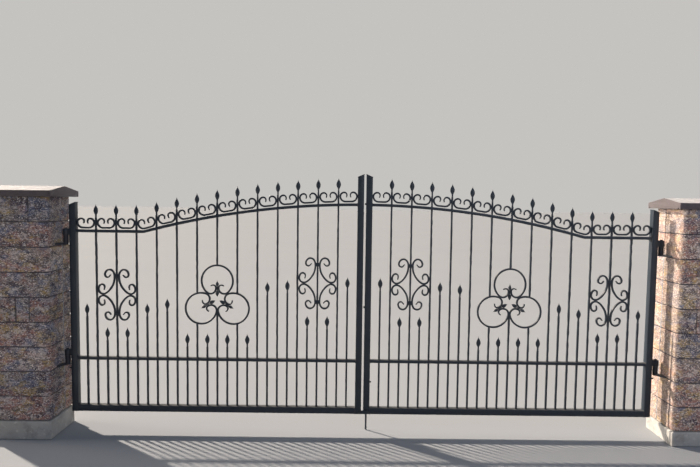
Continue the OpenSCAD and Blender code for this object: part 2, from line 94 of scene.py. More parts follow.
def add(tree, kind, inputs=(), **settings):
    """Adds one node and gives its outputs. inputs maps a socket's name or number to a value or an output.

    MapRange takes 0 from the range 1 to 2 to the range 3 to 4. A colour Mix lays 7 over 6 by share 0.
    """
    made = tree.nodes.new("ShaderNode" + kind)
    for name, value in settings.items():
        setattr(made, name, value)
    for socket, value in dict(inputs).items():
        if isinstance(value, bpy.types.NodeSocket):
            tree.links.new(value, made.inputs[socket])
        else:
            made.inputs[socket].default_value = value
    return made.outputs


def unit(vectors):
    """Vectors of length 1 in the same directions."""
    return vectors / np.linalg.norm(vectors, axis=-1, keepdims=True)


def hang(name, data, place, target):
    """Stands a lamp at a place with its beam, the lamp's own minus Z, towards a target."""
    forward = unit(np.subtract(target, place))
    across = unit(np.cross(forward, (0, 0, 1)))
    in_scene(name, data, np.stack([across, np.cross(across, forward), -forward], 1), place)


middle = np.array([2.135, 0.0, 0.8])
for name, kind, energy, colour, offset, settings in (
    ("low_sun", "SUN", 7.4, "#fff0de", [-5.3, 3.7, 4.1], {"angle": math.radians(2)}),
    ("bright_ground_left", "SUN", 4.8, "#fff4ea", [-10.0, 0.8, 1.4], {"angle": math.radians(24)}),
    ("street_fill", "AREA", 130, "#e6ecff", [3.6, -6.0, 3.4], {"shape": "DISK", "size": 5.0}),
):
    lamp = bpy.data.lights.new(name, kind)
    for setting, value in {**settings, "energy": energy, "color": linear(colour)[:3]}.items():
        setattr(lamp, setting, value)
    hang(name, lamp, middle + offset, middle)
    height = math.degrees(math.atan2(offset[2], math.hypot(*offset[:2])))
    print(name, "stands", round(height), "degrees high")

scene.world = bpy.data.worlds.new("pale studio")
scene.world.use_nodes = True
sky = scene.world.node_tree
street_sky, yard_sky = linear("#525e6e"), linear("#c5c3c0")
direction = add(sky, "SeparateXYZ", {0: add(sky, "TexCoord")["Generated"]})
to_yard = add(sky, "MapRange", {0: direction[1], 1: -0.1, 2: 0.5})[0]
overhead = add(sky, "MapRange", {0: direction[2], 1: 0.5, 2: 0.85, 4: 0.7})[0]
backdrop = street_sky
for share, over in ((to_yard, yard_sky), (overhead, street_sky)):
    backdrop = add(sky, "Mix", {0: share, 6: backdrop, 7: over}, data_type="RGBA")[2]
sky.links.new(backdrop, sky.nodes["Background"].inputs["Color"])
scene.view_settings.view_transform = "Standard"

# %% [markdown]
# A material can be one flat colour, but real paint, block and concrete vary at several sizes at once.
# So each is a ground colour with clouds of other tints over it, and a skin on which grains stand up.
# The patterns have four dimensions: the fourth one, W, gives every layer and block its own clouds.

# %% Materials: clouds and grains
NOISE_MM = 500  # how far apart the clouds of a noise of scale 1 lie


def new_material(name, fixed):
    """A material with fixed values on its shader's sockets: its tree, shader and shaded point."""
    material = bpy.data.materials.new(name)
    material.use_nodes = True
    tree = material.node_tree
    shader = tree.nodes["Principled BSDF"]
    for socket, value in fixed.items():
        shader.inputs[socket].default_value = value
    print("material:", name)
    return material, tree, shader, add(tree, "TexCoord")["Object"]


def clouded(tree, where, colour, layers, piece=None):
    """Lays clouds over a colour: each is (size in mm, detail, start, full, share, tint).

    A cloud begins to show where its noise passes start, and has its share of the colour from full on.
    piece is an output that differs from block to block.
    """
    for k, (size_mm, detail, start, full, share, tint) in enumerate(layers):
        pick = 3.7 * k
        if piece is not None:
            pick = add(tree, "Math", {0: piece, 1: 90.0, 2: pick}, operation="MULTIPLY_ADD")[0]
        pattern = {"W": pick, "Scale": NOISE_MM / size_mm, "Detail": detail, "Roughness": 0.6}
        cloud = add(tree, "TexNoise", {"Vector": where, **pattern}, noise_dimensions="4D")
        cover = add(tree, "MapRange", {0: cloud[0], 1: start, 2: full, 4: share})[0]
        colour = add(tree, "Mix", {0: cover, 6: colour, 7: linear(tint)}, data_type="RGBA")[2]
    return colour


def grained(tree, where, shader, layers):
    """Stands grains up on a surface: layers are (size in mm, detail, height in mm), one over another."""
    normal = None
    for k, (size_mm, detail, height_mm) in enumerate(layers):
        pattern = {"W": 2.3 * k, "Scale": NOISE_MM / size_mm, "Detail": detail, "Roughness": 0.6}
        grain = add(tree, "TexNoise", {"Vector": where, **pattern}, noise_dimensions="4D")
        inputs = {"Height": grain[0], "Distance": height_mm / 1000, "Strength": 1.0}
        if normal:
            inputs["Normal"] = normal
        normal = add(tree, "Bump", inputs)[0]
    tree.links.new(normal, shader.inputs["Normal"])


# %% [markdown]
# The iron is mild steel, brushed with a satin blue-black enamel whose soft highlight is a little
# uneven. Road dust dulls what faces up, and rust bleeds through at the welds: an attribute of the
# points, called mark, says where. Brush marks are drawn 5 mm wide, coarser than bristles, to show.

# %% Materials: satin enamel on steel
def satin_enamel():
    """Clouds, then dust by how far the surface faces up, then rust where crust times mark is high."""
    material, tree, shader, where = new_material("satin enamel on steel", {"IOR": 1.5})
    colour = clouded(tree, where, linear("#1a2530"), [(70, 2, 0.35, 0.65, 1.0, "#212c36")])
    up = add(tree, "SeparateXYZ", {0: add(tree, "NewGeometry")["Normal"]})[2]
    dust = add(tree, "MapRange", {0: up, 1: 0.4, 2: 1.0, 4: 0.30})[0]
    crust = add(tree, "TexNoise", {"Vector": where, "Scale": NOISE_MM / 9, "Detail": 2.0})[0]
    crust = add(tree, "MapRange", {0: crust, 1: 0.35, 2: 0.6})[0]
    mark = add(tree, "Attribute", attribute_name="mark")["Fac"]
    rust = add(tree, "Math", {0: crust, 1: mark}, operation="MULTIPLY")[0]
    for share, tint in ((dust, "#6f6961"), (rust, "#4a2f22")):
        colour = add(tree, "Mix", {0: share, 6: colour, 7: linear(tint)}, data_type="RGBA")[2]
    tree.links.new(colour, shader.inputs["Base Color"])
    brush = add(tree, "TexNoise", {"Vector": where, "Scale": NOISE_MM / 40, "Detail": 2.0})[0]
    gloss = add(tree, "MapRange", {0: brush, 1: 0.3, 2: 0.7, 3: 0.32, 4: 0.50})[0]
    gloss = add(tree, "Mix", {0: rust, 2: gloss, 3: 0.85})[0]
    tree.links.new(gloss, shader.inputs["Roughness"])
    grained(tree, where, shader, [(5, 2, 0.25), (24, 2, 0.6)])
    return material


enamel = satin_enamel()

# %% [markdown]
# A split-faced block is cracked off a double one after curing, so its face shows broken aggregate in
# iron-oxide colours. Clouds of brick, slate and ochre lie under stains and pale patches, a mottling,
# and pits and grains drawn 4.5 to 8 mm across, because real ones wouldn't show. Each block has its own
# tone and clouds, and the right pier's higher tones paint the brighter, warmer light on it. Faces
# turned to the sun are painted paler, as painted sunlight. The cast pieces have a sandy skin and
# stains, and dust gives the coping a sheen at a low angle.

# %% Materials: split block, mortar, coping and footing concrete
def split_block():
    """Clouds of the block's own, painted paler where the surface faces left towards the sun, times the
    block's tone.
    """
    rough = {"Roughness": 0.92, "IOR": 1.45}
    material, tree, shader, where = new_material("split-faced concrete block", rough)
    tone = add(tree, "Attribute", attribute_name="mark")["Fac"]
    streaked = add(tree, "VectorMath", {0: where, 1: (1.0, 1.0, 1.7)}, operation="MULTIPLY")[0]
    colour = clouded(tree, streaked, linear("#84776f"), [
        (120, 3, 0.44, 0.54, 0.85, "#93655a"),
        (85, 3, 0.50, 0.58, 0.90, "#626a7f"),
        (60, 4, 0.53, 0.60, 0.80, "#a99058"),
        (38, 4, 0.50, 0.57, 0.80, "#3f3a43"),
        (30, 3, 0.54, 0.61, 0.65, "#bdb3ac"),
        (16, 4, 0.52, 0.64, 0.40, "#a9937c"),
        (8, 4, 0.50, 0.58, 0.70, "#403a43"),
        (5, 3, 0.52, 0.62, 0.45, "#8a8f9f"),
        (4.5, 2, 0.56, 0.61, 0.90, "#d4cbc2"),
    ], tone)
    # Painted sunlight: faces turned left, towards the low sun, are mixed up to 42 % towards a pale colour.
    facing = add(tree, "SeparateXYZ", {0: add(tree, "NewGeometry")["Normal"]})[0]
    painted_sunlit_share = add(tree, "MapRange", {0: facing, 1: -0.3, 2: -0.9, 4: 0.42})[0]
    pale = linear("#887b72")
    colour = add(tree, "Mix", {0: painted_sunlit_share, 6: colour, 7: pale}, data_type="RGBA")[2]
    # Higher tones are lighter and warmer: the right pier's higher range paints the brighter, warmer light
    # on it.
    channels = [add(tree, "MapRange", {0: tone, 3: dark, 4: light})[0]
                for dark, light in ((0.82, 1.56), (0.84, 1.45), (0.89, 1.34))]
    shade = add(tree, "CombineColor", dict(enumerate(channels)))[0]
    times = {"data_type": "RGBA", "blend_type": "MULTIPLY"}
    colour = add(tree, "Mix", {0: 1.0, 6: colour, 7: shade}, **times)[2]
    tree.links.new(colour, shader.inputs["Base Color"])
    grained(tree, where, shader, [(7, 3, 0.7), (20, 3, 1.8)])
    return material


def cast_concrete(name, ground, layers, grain_mm, fixed=()):
    """Concrete cast in a mould: patches and stains over its ground colour, and a sandy skin."""
    fixed = {"Roughness": 0.88, "IOR": 1.45, **dict(fixed)}
    material, tree, shader, where = new_material(name, fixed)
    tree.links.new(clouded(tree, where, linear(ground), layers), shader.inputs["Base Color"])
    if grain_mm:
        grained(tree, where, shader, [(4, 2, grain_mm), (30, 3, 1.5)])
    return material


block = split_block()
mortar = cast_concrete("raked mortar", "#5c575a", [
    (60, 3, 0.40, 0.62, 0.8, "#484347"),
    (9, 2, 0.55, 0.70, 0.5, "#827b74"),
], 0.8)
smeared = cast_concrete("smeared cement", "#8f9398", [
    (25, 3, 0.42, 0.60, 0.9, "#6f6c70"),
    (8, 2, 0.52, 0.66, 0.6, "#b4b6b8"),
], 0.8)
brown_cast = cast_concrete("brown cast concrete", "#51484a", [
    (160, 3, 0.40, 0.64, 0.8, "#484042"),
    (45, 4, 0.54, 0.70, 0.5, "#3c3639"),
    (12, 3, 0.58, 0.70, 0.35, "#605653"),
], 0.25, {"Roughness": 0.6, "Sheen Weight": 0.5, "Sheen Roughness": 0.4})
footing = cast_concrete("trowelled footing concrete", "#b2b0ab", [
    (110, 4, 0.40, 0.62, 0.8, "#9d9a95"),
    (40, 4, 0.52, 0.68, 0.6, "#7d7a77"),
    (14, 3, 0.56, 0.68, 0.5, "#d0cdc6"),
], 1.0)
pale_floor = cast_concrete("pale studio floor", "#9b9ea2", [
    (900, 2, 0.3, 0.7, 1.0, "#999ca1"),
], 0, {"Specular IOR Level": 0.1})

# %% [markdown]
# Every piece below is a grid of points: rows along it and columns round it. These helpers turn such
# grids into closed skins. Blender's primitives and bmesh could do it too, but whole arrays let a
# long bar be hammered, a scroll be drawn down and a block be split by one line of arithmetic each.

# %% Shape helpers: noise and skins
AXIS_PRIMES = np.array([73856093, 19349663, 83492791])
SEED_STEP, STIR = 912931, 1274126177


def noise(points, size, seed=0):
    """Value noise from -1 to 1: a random height at each corner of a cubic lattice, eased in between."""
    place = np.asarray(points, float) / size + 512
    cell = np.floor(place).astype(np.int64)
    t = place - cell
    t = t * t * (3 - 2 * t)
    total = 0
    for corner in itertools.product((0, 1), repeat=3):
        key = (cell + corner) @ AXIS_PRIMES + seed * SEED_STEP
        key = (key ^ (key >> 13)) * STIR & 0x7FFFFFFF
        height = ((key ^ (key >> 16)) & 0xFFFF) / 32767.5 - 1
        total = total + height * np.prod(np.where(corner, t, 1 - t), -1)
    return total


def grid_of(x, y, z):
    """Points from their coordinates, each of which may be a number, a row, a column or a grid."""
    return np.stack(np.broadcast_arrays(x, y, z), -1)


def skin(grid, ring=False):
    """Closes a grid into a solid: its columns run round, and its rows end in a face or meet as a ring."""
    rows, cols = grid.shape[:2]
    start = np.arange(rows if ring else rows - 1)[:, None] * cols
    here, beside = np.arange(cols), (np.arange(cols) + 1) % cols
    after = (start + cols) % (rows * cols)
    quads = np.stack([start + here, start + beside, after + beside, after + here], -1).reshape(-1, 4)
    ends = [] if ring else [here[None, ::-1], here[None] + (rows - 1) * cols]
    return grid.reshape(-1, 3), [quads, *ends]


# %% [markdown]
# A skin becomes an object by way of Blender's mesh arrays: bmesh would add face by face, but
# foreach_set copies a whole array at once. The piece's creases, mark, finish and body are set too.

# %% Shape helpers: from skins to an object
def facing_out(points, faces):
    """Turns a closed skin right way out: the sum of its corner pyramids, its volume, is positive."""
    volume = 0.0
    for f in faces:
        volume += np.sum(points[f[:, :1]] * np.cross(points[f[:, 1:-1]], points[f[:, 2:]]))
    return faces if volume > 0 else [f[:, ::-1] for f in faces]


def make(name, parts, body, replaced=(), place=None, material=enamel, mark=None, crease=35):
    """Joins closed skins, given in millimetres, into one object that rides on a body."""
    points, sizes, corners, values, count = [], [], [], [], 0
    for part in parts:
        spots = part[0] if place is None else place(part[0])
        for f in facing_out(spots - spots.mean(0), part[1]):
            corners.append(f.ravel() + count)
            sizes.append(np.full(len(f), f.shape[1]))
        points.append(spots)
        values.append(np.broadcast_to(part[2] if len(part) > 2 else 0.0, len(spots)))
        count += len(spots)
    points, corners, sizes = np.concatenate(points), np.concatenate(corners), np.concatenate(sizes)
    mesh = bpy.data.meshes.new(name)
    mesh.vertices.add(len(points))
    mesh.vertices.foreach_set("co", (points / 1000).ravel())
    mesh.loops.add(len(corners))
    mesh.loops.foreach_set("vertex_index", corners.astype(np.int32))
    mesh.polygons.add(len(sizes))
    starts = np.concatenate([[0], np.cumsum(sizes)[:-1]])
    mesh.polygons.foreach_set("loop_start", starts.astype(np.int32))
    mesh.update(calc_edges=True)
    mesh.validate()
    mesh.shade_smooth()
    mesh.set_sharp_from_angle(angle=math.radians(crease))
    shade = np.concatenate(values) if mark is None else mark(points)
    mesh.attributes.new("mark", "FLOAT", "POINT").data.foreach_set("value", np.asarray(shade, np.float32))
    mesh.materials.append(material)
    made = in_scene(name, mesh)
    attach(made, body)
    if replaced:
        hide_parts(*replaced)
    print(f"{name}: {int((sizes - 2).sum())} triangles")


# %% [markdown]
# A smith bends a bar by radii and angles, and the scrolls are written the same way: each step is a
# radius and a turn, or a straight length. A Blender curve with a bevel would follow the line, but
# wouldn't thin a bar towards its end, so the square section is carried along the line here.

# %% Shape helpers: bent bars
def bend(start, heading, steps, pitch=4.0):
    """Middle line of a bar: steps of (radius, degrees to the left) or (0, straight length), in mm."""
    runs, angle = [np.array([start], float)], math.radians(heading)
    for radius, amount in steps:
        here = runs[-1][-1]
        if radius == 0:
            far = np.linspace(0, amount, max(2, round(amount / pitch) + 1))[1:, None]
            runs.append(here + far * [math.cos(angle), math.sin(angle)])
            continue
        turn = math.radians(amount)
        count = max(2, math.ceil(abs(turn) * radius / pitch), math.ceil(abs(amount) / 10))
        angles = angle + turn * np.arange(1, count + 1) / count
        lever = math.copysign(radius, turn)
        centre = here + lever * np.array([-math.sin(angle), math.cos(angle)])
        runs.append(centre + lever * np.stack([np.sin(angles), -np.cos(angles)], 1))
        angle += turn
    return np.concatenate(runs)


def resampled(path, pitch, nose):
    """The same line with points pitch apart, and more within nose of both ends, and their distances."""
    gaps = np.linalg.norm(np.diff(path, axis=0), axis=1)
    along = np.concatenate([[0], np.cumsum(gaps)])
    length = along[-1]
    tight = nose * np.array([0, 0.04, 0.15, 0.35, 0.65, 1.0])
    far = np.linspace(nose, length - nose, max(2, round((length - 2 * nose) / pitch)))
    s = np.unique(np.concatenate([tight, far, length - tight]).round(4))
    return np.stack([np.interp(s, along, path[:, k]) for k in (0, 1)], 1), s


CORNER_STEPS = 3
quarter = np.repeat(np.arange(4), CORNER_STEPS)
corner_flat = np.array([[1, 1], [-1, 1], [-1, -1], [1, -1]])[quarter]
corner_angle = np.radians(90 * quarter + np.tile(np.linspace(0, 90, CORNER_STEPS), 4))
corner_round = np.stack([np.cos(corner_angle), np.sin(corner_angle)], 1)


def forged(path, wide, deep, corner=1.2, nose=1.0, blunt=0.75, drawn=0, tip=None, dents=0.0, pitch=4.0,
           seed=0, at_y=0.0):
    """A rounded rectangle carried along a line in the leaf's plane.

    Its half sides shrink by a quarter circle within nose of both ends, and narrow from wide to tip over
    the drawn length. dents is the height of the hammer marks, noise 28 mm across, added outwards.
    """
    line, s = resampled(np.asarray(path, float), pitch, nose)
    step = unit(np.gradient(line, s, axis=0))
    across = np.stack([-step[:, 1], step[:, 0]], 1)
    edge = np.minimum(s, s[-1] - s)
    round_off = blunt + (1 - blunt) * np.sqrt(1 - (1 - np.clip(edge / nose, 0, 1)) ** 2)
    half = np.full(len(s), wide / 2)
    if drawn:
        half = (tip + (wide - tip) * np.clip(edge / drawn, 0, 1)) / 2
    size = np.stack([half * round_off, deep / 2 * round_off], 1)[:, None]
    radius = np.minimum(corner, size.min(-1, keepdims=True))
    offset = corner_flat * (size - radius) + corner_round * radius
    grid = np.empty((len(s), len(quarter), 3))
    grid[..., [0, 2]] = line[:, None] + across[:, None] * offset[..., :1]
    grid[..., 1] = offset[..., 1] + at_y
    if dents:
        out = np.empty_like(grid)
        out[..., [0, 2]] = across[:, None] * np.sign(offset[..., :1])
        out[..., 1] = np.sign(offset[..., 1])
        grid += out * (dents * noise(grid + out * 40, 28, seed) - dents * 0.3)[..., None]
    return skin(grid)


def straight(x, z_low, z_high, side, **how):
    """A square bar that stands at x, from one height to another."""
    return forged([[x, z_low], [x, z_high]], side, side, **how)


# %% [markdown]
# Pins and collars are turned on a lathe, and the rest are boxes with worn edges. A Bevel modifier
# would round a box too, but worked out here its faces can also be broken, as a block's are.

# %% Shape helpers: turned solids and boxes
def turned_solid(profile, x, y, cols=32, ring=False):
    """A profile of (radius, height) turned about an upright axis at x, y."""
    r, z = np.array(profile, float).T[..., None]
    angle = np.arange(cols) * 2 * math.pi / cols
    return skin(grid_of(x + r * np.cos(angle), y + r * np.sin(angle), z), ring)


def spaced(low, high, edge, pitch):
    """Grid lines across a face: close together over the rounded edges, pitch apart between them."""
    core = np.linspace(low + edge, high - edge, max(2, round((high - low - 2 * edge) / pitch) + 1))
    return np.concatenate([[low, low + edge * 0.3], core, [high - edge * 0.3, high]])


def slab(low, high, edge=2.0, pitch=1e9, rough=None):
    """A box with rounded edges: a point of its surface is pushed out from the core box, edge inside it.

    rough is a function of the points that gives the height of the broken surface, added outwards.
    """
    low, high = np.array(low, float), np.array(high, float)
    edge = min(edge, (high - low).min() / 2 - 0.01)
    lines = [spaced(low[k], high[k], edge, pitch) for k in range(3)]
    points, faces, count = [], [], 0
    for k, end in itertools.product(range(3), (0, 1)):
        i, j = (k + 1) % 3, (k + 2) % 3
        face = np.empty((len(lines[i]), len(lines[j]), 3))
        face[..., i] = lines[i][:, None]
        face[..., j] = lines[j]
        face[..., k] = (low, high)[end][k]
        index = np.arange(face[..., 0].size).reshape(face.shape[:2]) + count
        quads = np.stack([index[:-1, :-1], index[1:, :-1], index[1:, 1:], index[:-1, 1:]], -1)
        quads = quads.reshape(-1, 4)
        faces.append(quads if end else quads[:, ::-1])
        points.append(face.reshape(-1, 3))
        count += face[..., 0].size
    points = np.concatenate(points)
    core = np.clip(points, low + edge, high - edge)
    out = unit(points - core)
    points = core + out * edge
    if rough is not None:
        points = points + out * rough(points)[:, None]
    _, first, same = np.unique(points.round(3), axis=0, return_index=True, return_inverse=True)
    return points[first], [same.ravel()[np.concatenate(faces)]]


# %% [markdown]
# Sizes in millimetres, the same ones that the frame was drawn from. A leaf is drawn once with its
# hinge stile at zero, and each side has a function that sets the drawing in its place.

# %% The gate's measures
PIER_W, PIER_D, COURSE, COURSES = 400, 280, 154, 9
PLINTH_H = {"left": 118, "right": 94}
HINGE_UP = {"left": 12, "right": -15}
OPENING, SETBACK = 3870, 25
PIER_GAP = PIER_W + OPENING
LEAF_W, HINGE_GAP, MEETING_GAP = 1865, 63, 14
TUBE, LOW_RAIL = 40, 125
LOW_Z, LOW_TOP = LOW_RAIL + TUBE / 2, LOW_RAIL + TUBE
HINGE_STILE_H, LATCH_STILE_H, STILE_SLANT, CAP_T, CAP_OVER = 1452, 1652, 17, 4, 3
BAR, SCROLL, SCROLL_TIP, SEAT = 12, 11.5, 7, 0.4
LONG_BARS = 13
MIDDLE = LONG_BARS // 2
BAY = (LEAF_W - 2 * TUBE - LONG_BARS * BAR) / (LONG_BARS + 1)
PITCH = BAY + BAR
RAIL_H, RAIL_D, MID_RAIL, TOP_RAIL = 18, 30, 470, 1290
ARCH_RISE, ARCH_HALF = 189, 1405
ARCH_R = (ARCH_HALF ** 2 + ARCH_RISE ** 2) / (2 * ARCH_RISE)
SPEAR_RISE, SPEAR_LEAF, SPEAR_NECK = 170, 68, 18
SPEAR_H = SPEAR_LEAF + SPEAR_NECK

long_x = TUBE + BAY + BAR / 2 + PITCH * np.arange(LONG_BARS)
short_x = TUBE + BAY / 2 + PITCH * np.arange(LONG_BARS + 1)


def top_z(x):
    """Height of the top rail's middle: level near the hinges, then an arc of one large circle."""
    d = LEAF_W + MEETING_GAP / 2 - np.asarray(x, float)
    arc = TOP_RAIL + ARCH_RISE - ARCH_R + np.sqrt(np.maximum(ARCH_R ** 2 - d * d, 0))
    return np.where(d > ARCH_HALF, TOP_RAIL, arc)


def top_slope(x):
    """Slope of the top rail in degrees: its sine is the distance from the arc's middle over the radius."""
    d = LEAF_W + MEETING_GAP / 2 - x
    return 0.0 if d > ARCH_HALF else math.degrees(math.asin(d / ARCH_R))


def on_left(points):
    """A leaf's drawing set beside the left pier."""
    return points + [PIER_W / 2 + HINGE_GAP, SETBACK, 0]


def on_right(points):
    """Its mirror image, set beside the right pier."""
    return points * [-1, 1, 1] + [PIER_GAP - PIER_W / 2 - HINGE_GAP, SETBACK, 0]


SIDES = (("left", on_left, "left_leaf"), ("right", on_right, "right_leaf"))
print("bay", round(BAY, 1), "mm, arch radius", round(ARCH_R), "mm")

# %% [markdown]
# Spear heads are forged from the bar: a short neck, then a flat leaf that swells and runs out to a
# slender point, with a faint ridge down the middle. The section goes from nearly square at the neck
# to a lens in the leaf, which one superellipse does when its exponent falls from 4 to 1.5.

# %% Spear heads
LEAF_TIP, SPEAR_FOOT, SPEAR_WIDE = 1.6, 10, 29


def leaf_half(t, root, wide, wide_at, slender):
    """Half width of a forged leaf from its root, t = 0, to its tip, t = 1.

    It rises by a quarter of a sine to its widest place, then falls as one minus the square of the way
    left, to a power: the higher the power, the more slender the tip.
    """
    swell = root + (wide - root) * np.sin(np.pi / 2 * np.clip(t / wide_at, 0, 1))
    way = np.clip((t - wide_at) / (1 - wide_at), 0, 1)
    return np.where(t < wide_at, swell, np.maximum(LEAF_TIP, wide * (1 - way ** 2) ** slender)) / 2


def spear(x, z, seed=0):
    """A spear head's rows from t = -0.3, down in the bar, to its tip at t = 1."""
    t = np.concatenate([[-0.30, -0.20, -0.10, -0.04], np.linspace(0, 0.9, 13), [0.95, 0.985, 1.0]])
    half_w = np.where(t <= 0, SPEAR_FOOT / 2, leaf_half(t, SPEAR_FOOT, SPEAR_WIDE, 0.4, 1.9))
    half_d = np.where(t <= 0, SPEAR_FOOT / 2, 4.5 - 3.6 * np.maximum(t, 0) ** 2.2)
    power = 2 / np.interp(t, [-0.1, 0.15], [4.0, 1.5])[:, None]
    angle = np.arange(16) * math.pi / 8
    c, s = np.cos(angle), np.sin(angle)
    wide = x + half_w[:, None] * np.sign(c) * np.abs(c) ** power
    deep = half_d[:, None] * np.sign(s) * np.abs(s) ** power
    grid = grid_of(wide, deep, z + (SPEAR_NECK + SPEAR_LEAF * t)[:, None])
    return skin(grid + 0.35 * noise(grid, 14, seed)[..., None])


# %% [markdown]
# The trefoil is three rings whose ends turn back inwards and curl against a fleur between them.
# One ring is bent once, mirrored for its other end, and turned twice by 120 degrees.

# %% Trefoil, lyres and top scrolls as bent lines
RING_R, RING_OFF, TREFOIL_Z = 100, 119, 861
MIDDLE_BAR = long_x[MIDDLE]


def spun(points, degrees, centre=(0.0, 0.0)):
    """Turns a drawing about the origin, then moves it."""
    a = math.radians(degrees)
    return np.asarray(points) @ np.array([[math.cos(a), math.sin(a)], [-math.sin(a), math.cos(a)]]) + centre


def both_ends(half):
    """A line and its mirror image, joined where they meet on the axis."""
    return np.concatenate([half[::-1] * [-1, 1], half[1:]])


ring_steps = [(RING_R, 138), (35, 132), (0, 3.5), (17.5, 90), (25, 42)]
ring_line = both_ends(bend((0, RING_OFF + RING_R), 180, ring_steps))
cheek = bend((0, RING_OFF + RING_R), 180, ring_steps[:2])[-1]
ring_at = [np.array([MIDDLE_BAR, TREFOIL_Z]) + RING_OFF * np.array([math.cos(a), math.sin(a)])
           for a in np.radians([90, 210, 330])]

FOOT_STEPS = [(0, 4), (120, 30), (150, 12), (96, 18), (31, 30)]
SIDE_STEP = (29.5, 90)
CURL_STEPS = [(44, 35), (17, 55), (17, 90), (48, 24)]
CROOK_STEPS = [(0, 3), (52, -35), (27.5, -55), (27, -45), (35, -45), (17, -90), (13, -50), (0, 16)]
foot = bend((0, 0), -90, FOOT_STEPS)[-1]
foot_side = bend((0, 0), -90, [*FOOT_STEPS, SIDE_STEP])[-1]
lyre_start = np.array([PITCH - BAR / 2 - SCROLL / 2 + SEAT - foot_side[0], SCROLL / 2 - SEAT - foot[1]])
lower_arm = bend(lyre_start, -90, [*FOOT_STEPS, SIDE_STEP, *CURL_STEPS])
lyre_line = np.concatenate([bend(lyre_start, 90, CROOK_STEPS)[:0:-1], lower_arm])
LYRE_REACH = lyre_line[:, 1].max() + SCROLL / 2
COLLAR_UP = lyre_start[1] + 3
LYRE_Z = (882, 972)
print("lyre: collars", round(COLLAR_UP, 1), "mm from the middle, reach", round(LYRE_REACH, 1), "mm")


def top_scroll_line(x):
    """The scroll in a bay: mirrored halves on the rail's slope, as wide as the bay is."""
    base, side = 33, 25
    a = math.radians(top_slope(x))
    flat = ((BAY + 2 * SEAT - SCROLL - base - side) / math.cos(a) - base + side) / 2
    half = bend((flat, 0), 0, [(base, 90), (side, 90), (17, 90), (26, 35)], pitch=3.0)
    shift = base * math.sin(a) - (base - side) * (1 - math.cos(a)) / 2
    lift = (RAIL_H / 2 + 6 + SCROLL / 2) / math.cos(a)
    line = both_ends(np.concatenate([[[0, 0]], half]))
    return spun(line, math.degrees(a), (x + shift, float(top_z(x)) + lift))


# %% [markdown]
# Where a bar meets a rail the smith ran a small weld round it, a lumpy fillet with a little rust: a
# circle carried round a square, with a noisy radius. Rust also gathers where water sits on the
# hinges, so their points are marked by soft balls of it.

# %% Weld beads and rust
WELD_RUST, HINGE_RUST, RUST_REACH = 0.3, 0.4, 26


def bead(x, z, half, radius=2.2, seed=0, axis="z", half_y=None):
    """A closed weld round a bar of the given half side; its radius wavers by a third."""
    t = np.arange(40) * math.pi / 20
    c, s = np.cos(t), np.sin(t)
    reach = 1 / np.maximum(np.abs(c), np.abs(s))
    spine = np.stack([half * c * reach, (half_y or half) * s * reach], 1)
    out = np.stack([c, s], 1)
    ring = np.arange(6) * math.pi / 3
    wobble = radius * (1 + 0.35 * noise(grid_of(*spine.T, z + x), 5, seed))[:, None]
    flat = spine[:, None] + out[:, None] * (wobble * np.cos(ring))[..., None]
    up = wobble * np.sin(ring)
    sides = (flat[..., 0], flat[..., 1], up) if axis == "z" else (up, flat[..., 0], flat[..., 1])
    points, faces = skin(np.stack(sides, -1) + [x, 0, z], ring=True)
    return points, faces, WELD_RUST


def rusty(spots):
    """A mark function: exp(-(distance / reach) squared) of the nearest spot, times the rust's share."""
    def mark(points):
        far = np.linalg.norm(points[:, None] - spots, axis=2) / RUST_REACH
        return HINGE_RUST * np.exp(-far ** 2).max(1)

    return mark


# %% [markdown]
# A stile is a square tube, cut on a slant at the top and closed with a thin plate. A cube could be
# bevelled and cut, but two rings of the rounded section are enough when the upper one leans.

# %% Stiles and rails
def upright(x, low, high, side, corner):
    """A square tube between two rings, each given as its height and whether it leans."""
    ring_xy = corner_flat * (side / 2 - corner) + corner_round * corner
    slope = (ring_xy[:, 0] + TUBE / 2) * STILE_SLANT / TUBE
    rows = [grid_of(ring_xy[:, 0] + x + TUBE / 2, ring_xy[:, 1], z + slope * lean)
            for z, lean in (low, high)]
    return skin(np.stack(rows))


def stile(x, height):
    """A tube whose top is cut on a slant, and the thin plate that caps it."""
    tube = upright(x, (LOW_RAIL, 0), (height, 1), TUBE, 3.0)
    return tube, upright(x, (height, 1), (height + CAP_T, 1), TUBE + CAP_OVER, 2.0)


def rail(x_line, z_line, high, deep, corner, pitch):
    """A bar through the points of a line, with its full section at both ends."""
    return forged(np.stack([x_line, z_line], 1), high, deep, corner=corner, pitch=pitch, blunt=1)


def frame_pieces():
    """Both stiles and their caps, the two level rails, and the top rail along its arch."""
    hinge_tube, hinge_cap = stile(0, HINGE_STILE_H)
    latch_tube, latch_cap = stile(LEAF_W - TUBE, LATCH_STILE_H)
    ends = [TUBE, LEAF_W - TUBE]
    arch_x = LEAF_W + MEETING_GAP / 2 - ARCH_HALF
    xs = np.concatenate([[TUBE], np.linspace(arch_x, LEAF_W - TUBE, 60)])
    return [
        ("hinge_stile", [hinge_tube]),
        ("latch_stile", [latch_tube]),
        ("stile_caps", [hinge_cap, latch_cap]),
        ("bottom_rail", [rail(ends, [LOW_Z, LOW_Z], TUBE, TUBE, 3, 200)]),
        ("mid_rail", [rail(ends, [MID_RAIL, MID_RAIL], RAIL_H, RAIL_D, 1.5, 200)]),
        ("top_rail", [rail(xs, top_z(xs), RAIL_H, RAIL_D, 1.5, 20)]),
    ]


# %% [markdown]
# Long bars run from the bottom rail through both others to a spear, and are hammered above the mid
# rail. Short ones stop under a lyre, under the trefoil, or at a fixed drop below the arch. An Array
# modifier would repeat one bar, but each has its own length and hammer marks.

# %% Bars
HAMMERED, BRUISED, PLAIN = 1.3, 0.5, 0.35
UNDER_LYRE, UNDER_RING, UNDER_ARCH = 42, 58, 464


